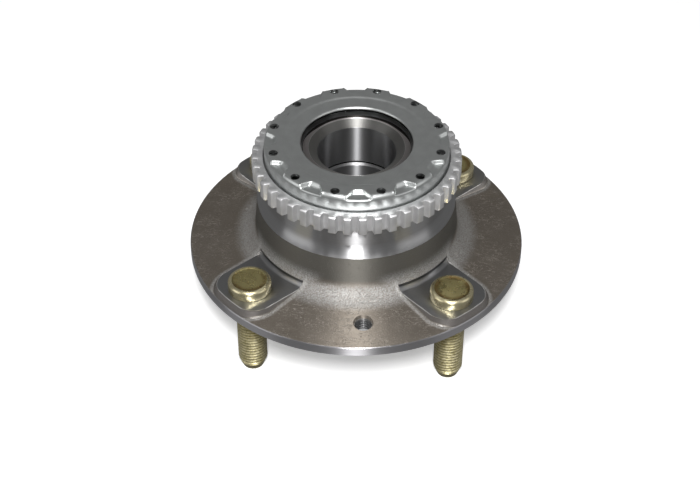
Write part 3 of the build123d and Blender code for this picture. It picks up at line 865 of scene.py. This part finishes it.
def add_thread(shape, place):
    """Helical thread: its rows climb one pitch in a turn."""
    turns = int((THREAD_TOP - STUD_END) / THREAD_PITCH) + SPARE_TURNS
    rows = []
    for turn in range(-1, turns):
        for phase, depth in THREAD_FORM:
            rows.append(thread_row(shape, place, turn + phase, depth))
    step = len(THREAD_FORM)
    for index in range(len(rows) - step - 1):
        for side in range(STUD_SIDES):
            last = side + 1 == STUD_SIDES
            shift = step if last else 0
            after = 0 if last else side + 1
            corners = (rows[index][side], rows[index + shift][after])
            corners += (rows[index + shift + 1][after], rows[index + 1][side])
            shape.faces.new(corners)


def head_profile():
    """Radius and height of the head, from the knurl to the middle of its dished top."""
    under = HEAD_RADIUS - HEAD_UNDER_EDGE
    top = HEAD_RADIUS - HEAD_EDGE
    profile = [(under, PAD_HEIGHT)]
    for angle in (30, 60, 90):
        turn = radians(angle)
        height = PAD_HEIGHT + HEAD_UNDER_EDGE * (1 - cos(turn))
        profile.append((under + HEAD_UNDER_EDGE * sin(turn), height))
    for angle in range(0, 91, BEND_STEP):
        turn = radians(angle)
        profile.append((top + HEAD_EDGE * cos(turn), HEAD_TOP - HEAD_EDGE * (1 - sin(turn))))
    for inward, share in DISH_EDGE:
        profile.append((top - inward, HEAD_TOP - share * HEAD_DISH))
    profile.append((top * 0.5, HEAD_TOP - DISH_HALFWAY * HEAD_DISH))
    return profile


def ring(shape, place, radius, height, notch=0.0):
    """Closed ring of vertices, every second one set in by the notch."""
    verts = []
    for side in range(STUD_SIDES):
        inset = notch * (side % 2)
        verts.append(shape.verts.new(around(place, radius - inset, 2 * pi * side / STUD_SIDES, height)))
    return verts


def cap(shape, middle, rim):
    """Fan of faces from a ring to its middle."""
    for side in range(STUD_SIDES):
        shape.faces.new((middle, rim[side], rim[(side + 1) % STUD_SIDES]))


def make_stud(number, material):
    """One wheel stud with its thread, knurl and head."""
    angle = radians(FIRST_STUD_ANGLE + 360 / STUD_COUNT * (number - 1))
    place = Vector((STUD_CIRCLE_RADIUS * cos(angle), STUD_CIRCLE_RADIUS * sin(angle), 0))
    shape = bmesh.new()
    add_thread(shape, place)
    point = ring(shape, place, STUD_RADIUS - POINT_TAPER, STUD_END)
    tip = shape.verts.new(around(place, 0, 0, STUD_END))
    shaft = [
        ring(shape, place, STUD_RADIUS, THREAD_TOP),
        ring(shape, place, STUD_RADIUS, KNURL_BOTTOM),
        ring(shape, place, KNURL_RADIUS, KNURL_BOTTOM + KNURL_RADIUS - STUD_RADIUS, KNURL_DEPTH),
        ring(shape, place, KNURL_RADIUS, PAD_HEIGHT, KNURL_DEPTH),
    ]
    shaft += [ring(shape, place, radius, height) for radius, height in head_profile()]
    for lower, upper in zip(shaft, shaft[1:]):
        stitch(shape, lower, upper)
    middle = shape.verts.new(around(place, 0, 0, HEAD_TOP - DISH_MIDDLE * HEAD_DISH))
    cap(shape, tip, point)
    cap(shape, middle, shaft[-1])
    bmesh.ops.remove_doubles(shape, verts=shape.verts, dist=WELD_DISTANCE)
    stud = new_object(f"threaded_stud_{number}", shape, material, STUD_SHARP)
    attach(stud, "hub")
    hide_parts(f"wheel_stud_{number}")


def smooth(value):
    value = min(max(value, 0.0), 1.0)
    return value * value * (3 - 2 * value)


def dart_drop(radius, angle, grow):
    """How far the nearest dart presses the sheet down at a point."""
    pitch = 2 * pi / DART_COUNT
    off = (angle - radians(DART_ANGLE) + pitch / 2) % pitch - pitch / 2
    along = radius * cos(off) - DART_START
    aside = abs(radius * sin(off))
    back = smooth((along + grow) / DART_BACK_RUN)
    flank = smooth((DART_HALF_WIDTH + DART_SPREAD * along + grow - aside) / DART_SIDE_RUN)
    return DART_DEPTH * back * flank


def lip_points(inset):
    """The plate's lip and its bend, from the lower edge up."""
    low = PLATE_TOP - PLATE_STEP
    bend = max(LIP_BEND - inset, LEAST_LIP_BEND)
    points = [(LIP_RADIUS + inset, low - LIP_HEIGHT)]
    for angle in range(0, 91, BEND_STEP):
        turn = radians(angle)
        radius = LIP_RADIUS + inset + bend * (1 - cos(turn))
        points.append((radius, low - inset - bend * (1 - sin(turn))))
    return points


def step_points(inset):
    """The soft step up from the plate's inner to its outer level."""
    low = PLATE_TOP - PLATE_STEP
    points = []
    for row in range(STEP_ROWS + 1):
        share = row / STEP_ROWS
        radius = PLATE_STEP_RADIUS + PLATE_STEP_RUN * (share - 0.5)
        points.append((radius, low - inset + PLATE_STEP * smooth(share)))
    return points


def corner_points(angle, inset):
    """The plate's outer level and its corner bend, pressed in by the darts, and its skirt."""
    grow = inset / 2
    wall = PLATE_RADIUS - inset
    pressed = dart_drop(wall, angle, grow) / DART_DEPTH
    bend = PLATE_BEND + (DART_BEND - PLATE_BEND) * pressed
    bend = max(bend - inset, LEAST_BEND)
    flat_end = wall - bend
    start = PLATE_STEP_RADIUS + PLATE_STEP_RUN
    points = []
    for row in range(TOP_ROWS + 1):
        radius = start + (flat_end - start) * row / TOP_ROWS
        points.append((radius, PLATE_TOP - inset - dart_drop(radius, angle, grow)))
    for turn in range(BEND_STEP, 91, BEND_STEP):
        turn = radians(turn)
        radius = flat_end + bend * sin(turn)
        drop = dart_drop(radius, angle, grow) + bend * (1 - cos(turn))
        points.append((radius, PLATE_TOP - inset - drop))
    corner = points[-1][1]
    for share in SKIRT_ROWS:
        points.append((wall, corner + (PLATE_SKIRT - corner) * share))
    return points


def sheet_side(angle, inset):
    """Outer (inset 0) or inner face of the plate at one angle, from its lip to its skirt."""
    return lip_points(inset) + step_points(inset) + corner_points(angle, inset)


def make_drain_holes():
    """Row of rods that cut the drain holes."""
    shape = bmesh.new()
    for number in range(DART_COUNT):
        angle = radians(DRAIN_ANGLE) + 2 * pi * number / DART_COUNT
        place = Matrix.Translation(around(Vector(), DRAIN_CIRCLE, angle, PLATE_TOP))
        size = {"radius1": DRAIN_RADIUS, "radius2": DRAIN_RADIUS, "depth": DRAIN_DEPTH}
        bmesh.ops.create_cone(shape, cap_ends=True, segments=DRAIN_SIDES, matrix=place, **size)
    mesh = bpy.data.meshes.new("drain_rods")
    shape.to_mesh(mesh)
    shape.free()
    rods = bpy.data.objects.new("drain_rods", mesh)
    bpy.context.scene.collection.objects.link(rods)
    return rods


def make_plate(material):
    """Cover plate as one closed sheet, with rounded darts and drilled drain holes."""
    shape = bmesh.new()
    columns = []
    for side in range(PLATE_SIDES):
        angle = 2 * pi * side / PLATE_SIDES
        loop = sheet_side(angle, 0.0) + sheet_side(angle, PLATE_THICKNESS)[::-1]
        columns.append([shape.verts.new(around(Vector(), radius, angle, z)) for radius, z in loop])
    for side in range(PLATE_SIDES):
        stitch(shape, columns[side], columns[(side + 1) % PLATE_SIDES])
    plate = new_object("pressed_plate", shape, material, PLATE_SHARP)
    rods = make_drain_holes()
    cut = plate.modifiers.new("drain", "BOOLEAN")
    cut.operation = "DIFFERENCE"
    cut.solver = "EXACT"
    cut.object = rods
    settle(plate, PLATE_SHARP)
    bpy.data.objects.remove(rods)
    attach(plate, "hub")
    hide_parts("cover_plate")


def tooth_outline(tip):
    """Corner radii and angles around the toothed ring, with the tips at the given radius."""
    share = (tip - TOOTH_ROOT_RADIUS) / (TOOTH_TIP_RADIUS - TOOTH_ROOT_RADIUS)
    tip_width = TOOTH_ROOT_WIDTH + (TOOTH_TIP_WIDTH - TOOTH_ROOT_WIDTH) * share
    root_turn = TOOTH_ROOT_WIDTH / 2 / TOOTH_ROOT_RADIUS
    tip_turn = tip_width / 2 / tip
    corners = []
    for tooth in range(TOOTH_COUNT):
        middle = radians(TOOTH_ANGLE) + 2 * pi * tooth / TOOTH_COUNT
        corners.append((TOOTH_ROOT_RADIUS, middle - root_turn))
        corners.append((tip, middle - tip_turn))
        corners.append((tip, middle + tip_turn))
        corners.append((TOOTH_ROOT_RADIUS, middle + root_turn))
    return corners


def make_tone_ring(material):
    """Toothed ring with softened edges."""
    shape = bmesh.new()
    low_tip = TOOTH_TIP_RADIUS - TOOTH_CHAMFER
    levels = [
        (RING_BOTTOM, low_tip),
        (RING_BOTTOM + TOOTH_CHAMFER, TOOTH_TIP_RADIUS),
        (RING_TOP - TOOTH_CHAMFER, TOOTH_TIP_RADIUS),
        (RING_TOP, low_tip),
    ]
    outlines = [(height, tooth_outline(tip)) for height, tip in levels]
    bore = [(TOOTH_BORE_RADIUS, turn) for _, turn in tooth_outline(low_tip)]
    outlines += [(RING_TOP, bore), (RING_BOTTOM, bore)]
    rings = []
    for height, corners in outlines:
        rings.append([shape.verts.new(around(Vector(), radius, turn, height)) for radius, turn in corners])
    for lower, upper in zip(rings, rings[1:] + rings[:1]):
        stitch(shape, lower, upper)
    toothed = new_object("toothed_ring", shape, material, PLAIN_TOOTH_SHARP)
    edge = toothed.modifiers.new("edge", "BEVEL")
    edge.width = TOOTH_EDGE
    edge.segments = TOOTH_EDGE_SEGMENTS
    edge.limit_method = "ANGLE"
    edge.angle_limit = radians(TOOTH_EDGE_ANGLE)
    settle(toothed, SOFT_TOOTH_SHARP)
    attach(toothed, "hub")
    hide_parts("tone_ring")


def dress(material, *nodes):
    """Gives CAD nodes a material in every slot they have."""
    for name in nodes:
        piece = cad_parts[name]
        if not piece.material_slots:
            piece.data.materials.append(material)
        for slot in piece.material_slots:
            slot.material = material


def both(name):
    """The inboard and the outboard node of a pair."""
    return f"{name}_inboard", f"{name}_outboard"


def dress_hub():
    """The hub and the pieces on it that show: plate, toothed ring and studs."""
    dress(hub_finish(), "hub")
    plated = plated_finish("zinc_plate", *COVER_PLATE, shade=lip_shade_mask)
    dress(plated, "cover_plate")
    make_plate(plated)
    sintered = plated_finish("sintered_steel", *TONE_RING)
    dress(sintered, "tone_ring")
    make_tone_ring(sintered)
    zinc = stud_finish()
    numbers = range(1, STUD_COUNT + 1)
    dress(zinc, *(f"wheel_stud_{number}" for number in numbers))
    for number in numbers:
        make_stud(number, zinc)


def dress_bearing():
    """The rings, balls, cages and seals inside the hub."""
    dress(ring_finish(), *both("inner_ring"))
    dress(turned_finish("polished_ball", *BALLS), *both("balls"))
    dress(turned_finish("pressed_steel", *SLINGER), *both("slinger"))
    dress(turned_finish("case_steel", *SEAL_CASE), *both("seal_case"))
    dress(plated_finish("spring_steel", *CLIP), "inner_ring_clip")
    dress(dull_finish("nitrile_rubber", *SEAL_LIP), *both("seal_lip"))
    dress(dull_finish("cage_polyamide", *CAGE), *both("cage"))


def make_floor():
    """Pale table under the stud ends."""
    mesh = bpy.data.meshes.new("floor")
    shape = bmesh.new()
    bmesh.ops.create_circle(shape, cap_ends=True, segments=FLOOR_SIDES, radius=FLOOR_RADIUS)
    bmesh.ops.translate(shape, verts=shape.verts, vec=(0, 0, cad_bounds[0][2]))
    shape.to_mesh(mesh)
    shape.free()
    floor = bpy.data.objects.new("floor", mesh)
    bpy.context.scene.collection.objects.link(floor)
    f = Finish("table_paper", FLOOR_COLOR, 0.0, FLOOR_ROUGHNESS)
    f.shader.inputs["Emission Color"].default_value = WHITE
    f.shader.inputs["Emission Strength"].default_value = FLOOR_GLOW
    f.color(f.blend(f.noise(FLOOR_CLOUD), FLOOR_DARK, FLOOR_LIGHT))
    mesh.materials.append(f.material)
    floor.visible_glossy = False


def make_camera():
    """Camera in front of the part, looking down at it."""
    data = bpy.data.cameras.new("camera")
    data.sensor_width = LENS_WIDTH
    data.lens = FOCAL_LENGTH
    data.clip_start = CAMERA_CLIP
    camera = bpy.data.objects.new("camera", data)
    bpy.context.scene.collection.objects.link(camera)
    turn = Matrix.Rotation(radians(CAMERA_TURN), 4, "Z")
    tilt = Matrix.Rotation(radians(90.0 - CAMERA_ELEVATION), 4, "X")
    roll = Matrix.Rotation(radians(CAMERA_ROLL), 4, "Z")
    aim = turn @ tilt @ roll
    back = turn @ tilt @ Vector((0, 0, CAMERA_DISTANCE))
    camera.matrix_world = Matrix.Translation(turn @ CAMERA_TARGET + back) @ aim
    bpy.context.scene.camera = camera


def soft_light(name, place, size, power):
    """Rectangular soft box that faces the part."""
    data = bpy.data.lights.new(name, "AREA")
    data.shape = "RECTANGLE"
    data.size = size[0]
    data.size_y = size[1]
    data.energy = power
    light = bpy.data.objects.new(name, data)
    bpy.context.scene.collection.objects.link(light)
    direction = Vector(place) - LIGHT_TARGET
    light.rotation_euler = direction.to_track_quat("Z", "Y").to_euler()
    light.location = place


def make_lights():
    """A flash above the camera and weaker soft boxes around, in a dim room."""
    world = bpy.data.worlds.new("surround")
    world.use_nodes = True
    background = world.node_tree.nodes["Background"]
    background.inputs["Color"].default_value = WHITE
    background.inputs["Strength"].default_value = SURROUND_STRENGTH
    bpy.context.scene.world = world
    for light in LIGHTS:
        soft_light(*light)
    bpy.context.scene.view_settings.view_transform = "Standard"


make_camera()
make_lights()
make_floor()
dress_hub()
dress_bearing()
